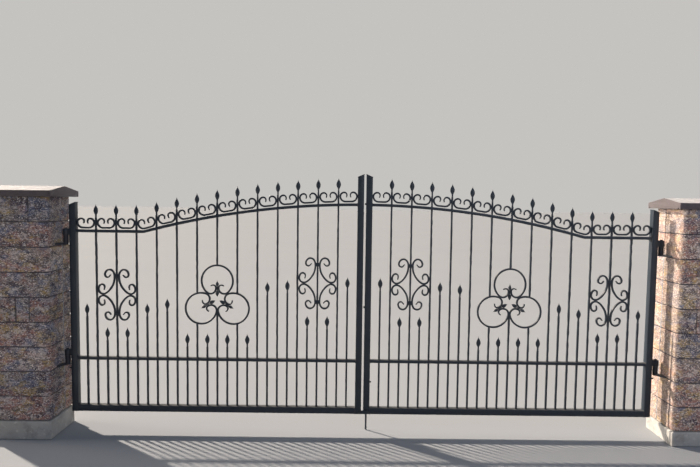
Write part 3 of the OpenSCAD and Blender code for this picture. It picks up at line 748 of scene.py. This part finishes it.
def long_bars(seed):
    """Three of these bars stop at the trefoil's rings and go on above them."""
    skins = []
    for i, x in enumerate(long_x):
        head = float(top_z(x)) + SPEAR_RISE - SPEAR_H
        reach = [math.sqrt(max(RING_R ** 2 - (x - c[0]) ** 2, 0)) for c in ring_at]
        spans = [(MID_RAIL, head)]
        if i == MIDDLE:
            drop = math.sqrt((RING_R + SCROLL / 2) ** 2 - (RING_OFF * math.cos(math.pi / 6)) ** 2)
            spans = [(MID_RAIL, ring_at[1][1] - drop), (ring_at[0][1] + reach[0], head)]
        elif abs(i - MIDDLE) == 1:
            k = 1 if i < MIDDLE else 2
            spans = [(MID_RAIL, ring_at[k][1] - reach[k]), (ring_at[k][1] + reach[k], head)]
        for low, high in [(LOW_TOP, MID_RAIL), *spans]:
            marks = HAMMERED if high > MID_RAIL else PLAIN
            skins.append(straight(x, low, high, BAR, dents=marks, pitch=7, seed=seed + i))
        skins.append(spear(x, head, seed + i))
    return skins


def short_tip(i, x):
    """Height of a short bar's tip: a fixed drop below a lyre, the trefoil or the top rail."""
    if i in (1, 2):
        return LYRE_Z[0] - LYRE_REACH - UNDER_LYRE
    if i in (LONG_BARS - 2, LONG_BARS - 1):
        return LYRE_Z[1] - LYRE_REACH - UNDER_LYRE
    if abs(i - LONG_BARS / 2) < 2:
        return ring_at[1][1] - RING_R - SCROLL / 2 - UNDER_RING
    return float(top_z(x)) - UNDER_ARCH


def short_bars(seed):
    """Each bar ends one spear's height below its tip."""
    skins = []
    for i, x in enumerate(short_x):
        head = short_tip(i, x) - SPEAR_H
        skins.append(straight(x, LOW_TOP, head, BAR, dents=BRUISED, pitch=7, seed=seed + 40 + i))
        skins.append(spear(x, head, seed + 40 + i))
    return skins


# %% [markdown]
# The bent lines become iron here: each is a square bar drawn down to 7 mm at both ends. A lyre is one
# arm in its four mirror images, held to the bar between them by two collars. The fleurs are cut from
# plate and dished, so their section is a flat lens between two leaf outlines, tip to tip.

# %% Scrollwork
DRAWN_DOWN = dict(corner=1.6, nose=2.5, blunt=0.35, drawn=45, tip=SCROLL_TIP, dents=PLAIN)
COLLAR_D, COLLAR_H = 18, 24


def scroll(line, seed, **how):
    """A bent line as a square bar, drawn down at both ends."""
    return forged(line, SCROLL, SCROLL, seed=seed, **DRAWN_DOWN, **how)


def lyre(x, z, seed):
    """One arm mirrored about x, about z and about both, and the two collars that hold them."""
    arms = [scroll(lyre_line * [a, b] + [x, z], seed + a + 2 * b) for a in (1, -1) for b in (1, -1)]
    for middle in (z + COLLAR_UP, z - COLLAR_UP):
        low = (x - lyre_start[0], -COLLAR_D / 2, middle - COLLAR_H / 2)
        arms.append(slab(low, (x + lyre_start[0], COLLAR_D / 2, middle + COLLAR_H / 2), 2.5))
    return arms


def fleur(degrees, centre):
    """A bud above a stem and a broader leaf below it: two leaf_half outlines with a raised middle."""
    stem = 2 * (-cheek[0] - SCROLL / 2)
    t = np.linspace(0, 1, 17)
    w = np.concatenate([leaf_half(t[::-1], stem, 23, 0.37, 1.1), leaf_half(t, stem, 20, 0.37, 2)])
    h = np.concatenate([-15 - 39 * t[::-1], 13 + 38 * t])
    angle = np.arange(12) * math.pi / 6
    c, v = np.cos(angle), np.sin(angle)
    wide = w[:, None] * np.sign(c) * np.abs(c) ** 0.8
    flat = np.stack([wide, np.broadcast_to(h[:, None], wide.shape) + cheek[1]], -1)
    grid = np.empty((*wide.shape, 3))
    grid[..., [0, 2]] = spun(flat.reshape(-1, 2), degrees, centre).reshape(flat.shape)
    grid[..., 1] = np.minimum(4.7, w[:, None] * 0.9 + 0.6) * np.sign(v) * np.abs(v) ** 0.9
    return skin(grid)


def scrollwork(seed):
    """The bent pieces by name: one ring and one fleur, turned by 120 degrees, give all three."""
    centre = (MIDDLE_BAR, TREFOIL_Z)
    return [
        ("top_scrolls", [scroll(top_scroll_line(x), seed + i, pitch=3) for i, x in enumerate(short_x)]),
        ("hinge_lyre", lyre(long_x[1], LYRE_Z[0], seed)),
        ("latch_lyre", lyre(long_x[-2], LYRE_Z[1], seed)),
        ("trefoil", [scroll(spun(ring_line, 120 * k, centre), seed + k) for k in range(3)]),
        ("fleurs", [fleur(120 * k, centre) for k in range(3)]),
    ]


# %% [markdown]
# Each piece becomes one object on each leaf. Rounded noses get a softer crease, to shade smoothly.

# %% Both leaves
ROUND_NOSED = ("top_scrolls", "long_bars", "short_bars")
LEAF_SEED = {"left": 3, "right": 11}


def welds(seed):
    """Beads at the feet of all bars, on both sides of the mid rail, and round the rails' ends."""
    feet = enumerate(np.concatenate([long_x, short_x]))
    beads = [bead(x, LOW_TOP, BAR / 2, seed=seed + i) for i, x in feet]
    beads += [bead(x, MID_RAIL + s * RAIL_H / 2, BAR / 2, 1.8, seed=i)
              for i, x in enumerate(long_x) for s in (1, -1)]
    for x in (TUBE, LEAF_W - TUBE):
        beads.append(bead(x, LOW_Z, TUBE / 2 - 1, 2.6, axis="x", seed=seed))
        beads.append(bead(x, MID_RAIL, RAIL_D / 2, axis="x", half_y=RAIL_H / 2, seed=seed))
        beads.append(bead(x, float(top_z(x)), RAIL_D / 2, axis="x", half_y=RAIL_H / 2 + 1, seed=seed))
    return beads


for side, place, body in SIDES:
    seed = LEAF_SEED[side]
    bars = [("long_bars", long_bars(seed)), ("short_bars", short_bars(seed))]
    for name, skins in [*frame_pieces(), *bars, *scrollwork(seed)]:
        crease = 50 if name in ROUND_NOSED else 35
        make(f"{side}_{name}_iron", skins, body, [f"{side}_{name}"], place, crease=crease)
    make(f"{side}_welds", welds(seed), body, (), place, crease=80)

# %% [markdown]
# Each hinge is a barrel and pin on a flat arm that is built into the pier, with an eye on the leaf
# dropped over the pin. Turned solids give the round parts their small chamfers.

# %% Hinges
EYE_REACH, EYE_R, EYE_H, PIN_R, BARREL_R, BARREL_H = 30, 18, 42, 8, 16, 48
ARM_W, ARM_T, ARM_SHIFT, ARM_ROOT = 28, 12, 45, 90
HINGE_Z, EYE_FLOAT, STOP_DROP, RUST_DOWN = (1250, 474), 0.3, 28, (0, -58)


def eye(z):
    """A ring on the pin, the strap from it to the stile, and the weld round the strap."""
    low, high = z + EYE_FLOAT, z + EYE_FLOAT + EYE_H
    ring = [(PIN_R + 0.05, low + 1), (EYE_R - 1.5, low), (EYE_R, low + 1.5), (EYE_R, high - 7),
            (EYE_R - 1.1, high - 3.5), (EYE_R - 3.5, high - 1.1), (EYE_R - 7, high),
            (PIN_R + 1.2, high), (PIN_R + 0.05, high - 1)]
    return [
        turned_solid(ring, -EYE_REACH, 0, ring=True),
        slab((-EYE_REACH + 10, -12, low), (1, 12, high), 2),
        bead(0, (low + high) / 2, 12, 2.4, axis="x", half_y=EYE_H / 2, seed=int(z)),
    ]


def pintle(z):
    """A turned barrel and pin, and an arm turned about the pin until it points into the pier."""
    foot_z = z - BARREL_H - ARM_T
    across = HINGE_GAP - EYE_REACH
    turn, out = math.degrees(math.atan2(ARM_SHIFT, across)), math.hypot(ARM_SHIFT, across)
    tip = z + EYE_H + 5.3
    barrel = [(BARREL_R - 1.5, foot_z), (BARREL_R, foot_z + 1.5), (BARREL_R, z - 1.5), (BARREL_R - 1.5, z),
              (PIN_R, z), (PIN_R, tip - 1.8), (PIN_R - 1.8, tip), (0.5, tip)]
    arm, faces = slab((0, -ARM_W / 2, foot_z), (out + ARM_ROOT, ARM_W / 2, foot_z + ARM_T), 1.8)
    arm[:, :2] = spun(arm[:, :2], 180 + turn, (-EYE_REACH, 0))
    return [turned_solid(barrel, -EYE_REACH, 0), (arm, faces)]


for side, place, body in SIDES:
    heights = [z + HINGE_UP[side] for z in HINGE_Z]
    wet = np.array([(-EYE_REACH, 0.0, z + down) for z in heights for down in RUST_DOWN])
    rust = rusty(place(wet))
    stop_z = heights[1] - BARREL_H - ARM_T - STOP_DROP
    for node, skins, carrier, mark in (
        ("hinge_eyes", [p for z in heights for p in eye(z)], body, rust),
        ("pintles", [p for z in heights for p in pintle(z)], "piers", rust),
        ("lift_stop", [slab((-18, -5, stop_z), (1, 5, stop_z + 10), 1.5)], body, None),
    ):
        make(f"{side}_{node}_iron", skins, carrier, [f"{side}_{node}"], place, mark=mark)

# %% [markdown]
# The right leaf is held shut by a rod that drops to the ground behind its meeting stile, and it
# carries the plate and the two pads that the other leaf shuts against.

# %% Meeting stile fittings
ROD_X, ROD_Y, ROD_R = LEAF_W - TUBE / 2, TUBE / 2 + 15, 6
KEEPER_Z, KEEPER_H, PAD_Z, PLATE_Z = (145, 262), 15, (822, 1484), LOW_RAIL + 4


def stop_plate():
    """A 6 mm plate with one end cut on a slant, on a packing piece that keeps it 5 mm off the tube."""
    edge_x = np.array([-35, 35, 12, -32]) + LEAF_W
    edge_z = np.array([0, 0, 23, 23]) + PLATE_Z
    rows = []
    for y, inset in ((-25, 0.5), (-25.6, 0), (-30.4, 0), (-31, 0.5)):
        dx = np.sign(edge_x - edge_x.mean()) * inset
        dz = np.sign(edge_z - edge_z.mean()) * inset
        rows.append(grid_of(edge_x - dx, y, edge_z - dz))
    packing = slab((LEAF_W - 32, -25.2, PLATE_Z + 3), (LEAF_W - 3, -19.8, PLATE_Z + 20), 1)
    return [skin(np.stack(rows)), packing]


def keeper(z):
    """A short tube round the rod, with a wing on each side that reaches back to the stile."""
    inner, outer, top = ROD_R + 0.8, ROD_R + 4.8, z + KEEPER_H
    wall = [(inner, z + 0.6), (inner + 0.6, z), (outer - 0.6, z), (outer, z + 0.8), (outer, top - 0.8),
            (outer - 0.6, top), (inner + 0.6, top), (inner, top - 0.6)]
    wings = [slab((ROD_X + a, TUBE / 2 - 0.2, z), (ROD_X + b, ROD_Y, top), 1.5)
             for a, b in ((-17, -9.5), (9.5, 17))]
    return [turned_solid(wall, ROD_X, ROD_Y, ring=True), *wings]


# The rod rises 305 mm from just above the ground, and its top is bent over as a grip.
handle = bend((ROD_X, 2), 90, [(0, 305), (14, 90), (0, 17)], pitch=6)
rod = forged(handle, 2 * ROD_R, 2 * ROD_R, corner=ROD_R, nose=2.5, blunt=0.55, pitch=6, at_y=ROD_Y)
collar = [(ROD_R - 0.5, 277), (9, 277), (10, 278), (10, 284), (9, 285), (ROD_R - 0.5, 285)]
pads = [slab((LEAF_W - 0.5, -11, z - 5.5), (LEAF_W + 8, 11, z + 5.5), 1.5) for z in PAD_Z]
for node, skins, body in (
    ("stop_plate", stop_plate(), "right_leaf"),
    ("meeting_pads", pads, "right_leaf"),
    ("bolt_keepers", [p for z in KEEPER_Z for p in keeper(z)], "right_leaf"),
    ("drop_bolt", [rod, turned_solid(collar, ROD_X, ROD_Y, ring=True)], "bolt"),
):
    make(f"{node}_iron", skins, body, [node], on_right)

# %% [markdown]
# The piers are laid two blocks deep: one 185 mm thick to the street and one 95 mm thick behind it,
# with an upright joint in some courses. Each block is a box whose surface is broken outwards and
# inwards by noise 45, 16 and 9 mm across, as the splitter leaves it.

# %% Piers
JOINT, FRONT_D = 4.5, 185
FRONT_JOINTS = {4: (2, 86), 8: (90,)}
BACK_JOINTS = {0: (-60,), 4: (-60,), 8: (-60,)}
CORNER_R = {"street": 28, "yard": 7}
BLOCK_PITCH, CORE_IN, SMEARED_COURSES = 8.6, 6, 7.2


def broken(points):
    """Height of a split face in mm: three sizes of noise added up, 1.2 mm back from the mould's face."""
    return 2.4 * noise(points, 45, 5) + 1.1 * noise(points, 16, 6) + 0.5 * noise(points, 9, 7) - 1.2


def tumbled(points):
    """Rounds the pier's upright edges: a square corner becomes a quarter disc.

    Each coordinate in the corner is shortened by the root of one minus half the other's square.
    """
    half = np.array([PIER_W / 2, PIER_D / 2])
    radius = np.where(points[:, 1:2] < 0, CORNER_R["street"], CORNER_R["yard"])
    inside = np.clip((np.abs(points[:, :2]) - half + radius) / radius, 0, 1.3)
    short = inside * np.sqrt(1 - inside[:, ::-1] ** 2 / 2)
    out = points.copy()
    out[:, :2] = np.sign(points[:, :2]) * (np.abs(points[:, :2]) + (short - inside) * radius)
    return out


def at_right_pier(points):
    """The left pier's mirror image, across the opening."""
    return points * [-1, 1, 1] + [PIER_GAP, 0, 0]


def pier_blocks(seed, plinth_h, tones_with_painted_light):
    """The blocks of one pier, each with a random tone between the two given: a higher pair paints brighter,
    warmer light.
    """
    random = np.random.default_rng(seed)
    half_w, half_d, g = PIER_W / 2, PIER_D / 2, JOINT / 2
    middle_y = -half_d + FRONT_D
    skins = []
    for course in range(COURSES):
        z0 = plinth_h + course * COURSE
        low, high = z0 + g, z0 + COURSE - (0 if course == COURSES - 1 else g)
        for joints, y0, y1 in ((FRONT_JOINTS, -half_d, middle_y - g), (BACK_JOINTS, middle_y + g, half_d)):
            cuts = joints.get(course, ())
            starts = [-half_w, *(x + g for x in cuts)]
            ends = [*(x - g for x in cuts), half_w]
            for x0, x1 in zip(starts, ends):
                points, faces = slab((x0, y0, low), (x1, y1, high), 3.5, BLOCK_PITCH, broken)
                skins.append((tumbled(points), faces, random.uniform(*tones_with_painted_light)))
    return skins


def pier_core(plinth_h):
    """The mortar, which shows in the joints 6 mm behind the blocks' faces."""
    high = (PIER_W / 2 - CORE_IN, PIER_D / 2 - CORE_IN, plinth_h + COURSE * COURSES)
    low = (-high[0], -high[1], plinth_h)
    points, faces = slab(low, high, 3, 14, lambda p: 0.8 * noise(p, 20, 9))
    return [(tumbled(points), faces)]


def smeared_joint(plinth_h):
    """A strip that fills the inner face's upright joint flush. Its edges wander by noise."""
    z = np.arange(plinth_h + 4, plinth_h + SMEARED_COURSES * COURSE, 9.0)
    spot = grid_of(0, 0, z)
    wide = 5.5 + 2.0 * noise(spot, 35, 41) + 1.5 * noise(spot, 14, 42)
    seam_y = FRONT_D - PIER_D / 2 + 1.5 * noise(spot, 50, 43)
    around = np.radians(np.arange(0, 360, 45))
    y = seam_y[:, None] + wide[:, None] * np.sin(around)
    return [skin(grid_of(PIER_W / 2 - 4 + 4.2 * np.cos(around), y, z[:, None]))]


# %% [markdown]
# The coping is cast in a mould with two slopes and a drip groove under each edge, which lets rain
# fall clear of the blocks. Its section is drawn once, softened at the corners and drawn out along X.

# %% Coping and footing
COPING_SIDE, COPING_END, COPING_LIP, COPING_RISE = 35, 45, 38, 30
DRIP_W, DRIP_H, COPING_PITCH, PLINTH_OUT = 12, 8, 12, 10


def softened(corners, radius):
    """Cuts each corner of a closed outline with a small parabola that starts radius before it."""
    c = np.array(corners, float)
    start, end = (c + unit(np.roll(c, way, 0) - c) * radius for way in (1, -1))
    t = np.linspace(0, 1, 4)[:, None, None]
    return np.transpose((1 - t) ** 2 * start + 2 * t * (1 - t) * c + t * t * end, (1, 0, 2)).reshape(-1, 2)


def closed_pitch(outline, pitch):
    """The same closed outline with no two points further apart than pitch."""
    pieces = []
    for a, b in zip(outline, np.roll(outline, -1, 0)):
        count = max(1, math.ceil(np.linalg.norm(b - a) / pitch))
        pieces.append(a + (b - a) * np.arange(count)[:, None] / count)
    return np.concatenate(pieces)


def coping(plinth_h):
    """The section along X, drawn in by up to 1.6 % at both ends, with its surface worn by noise."""
    half = PIER_D / 2 + COPING_SIDE
    groove = half - COPING_SIDE / 2
    near, far = groove - DRIP_W / 2, groove + DRIP_W / 2
    yard = [(near, 0), (near, DRIP_H), (far, DRIP_H), (far, 0), (half, 0), (half, COPING_LIP)]
    street = [(-y, z) for y, z in yard[::-1]]
    outline = street[1:] + yard + [(0, COPING_LIP + COPING_RISE)] + street[:1]
    section = closed_pitch(softened(outline, 3), COPING_PITCH)
    centre = np.array([0, COPING_LIP / 2])
    length = PIER_W + 2 * COPING_END
    steps = np.arange(15, length - 10, COPING_PITCH)
    x = np.concatenate([[0, 0.8, 3], steps, [length - 3, length - 0.8, length]]) - length / 2
    ends = length / 2 - np.array([3, 0.8, 0])
    inset = 1 - np.interp(np.abs(x), ends, [0, 0.004, 0.016])
    drawn_in = centre + (section - centre) * inset[:, None, None]
    grid = grid_of(x[:, None], drawn_in[..., 0], drawn_in[..., 1])
    wear = 0.7 * noise(grid, 28, 21) + 0.35 * noise(grid, 9, 22) - 0.6
    grid += np.sign(grid - grid.mean((0, 1))) * [0.3, 0.5, 1.0] * wear[..., None]
    return skin(grid + [0, 0, plinth_h + COURSE * COURSES])


def footing_block(plinth_h):
    """A box whose trowelled sides are uneven, but not where they meet the ground."""
    w, d = PIER_W / 2 + PLINTH_OUT, PIER_D / 2 + PLINTH_OUT

    def uneven(p):
        return (2.0 * noise(p, 60, 31) + 1.2 * noise(p, 16, 32) - 1.6) * np.clip(p[:, 2] / 12, 0, 1)

    return slab((-w, -d, 0), (w, d, plinth_h), 9, 10, uneven)


# The right pier's higher tones paint the brighter, warmer light on it. Within a pier, tones differ at
# random.
for side, place, seed, tones_with_painted_light in (("left", None, 7, (0.0, 0.5)), ("right", at_right_pier, 8, (0.6, 1.0))):
    up = PLINTH_H[side]
    for name, skins, material, slot, node in (
        ("pier_blocks", pier_blocks(seed, up, tones_with_painted_light), block, "blocks", "pier"),
        ("pier_mortar", pier_core(up), mortar, "blocks", None),
        ("pier_smeared_joint", smeared_joint(up), smeared, "blocks", None),
        ("coping_cast", [coping(up)], brown_cast, "coping", "coping"),
        ("plinth_cast", [footing_block(up)], footing, "concrete", "plinth"),
    ):
        stands_for = [f"{side}_{node}"] if node else ()
        make(f"{side}_{name}", skins, "piers", stands_for, place, material)

# %% [markdown]
# The studio floor is one large pale sheet. It isn't part of the object.

# %% Floor
near, far = -80, 84
floor_mesh = bpy.data.meshes.new("floor")
floor_mesh.from_pydata([(near, near, 0), (far, near, 0), (far, far, 0), (near, far, 0)], [], [(0, 1, 2, 3)])
floor_mesh.materials.append(pale_floor)
floor = in_scene("floor", floor_mesh)
print("floor", far - near, "m wide")
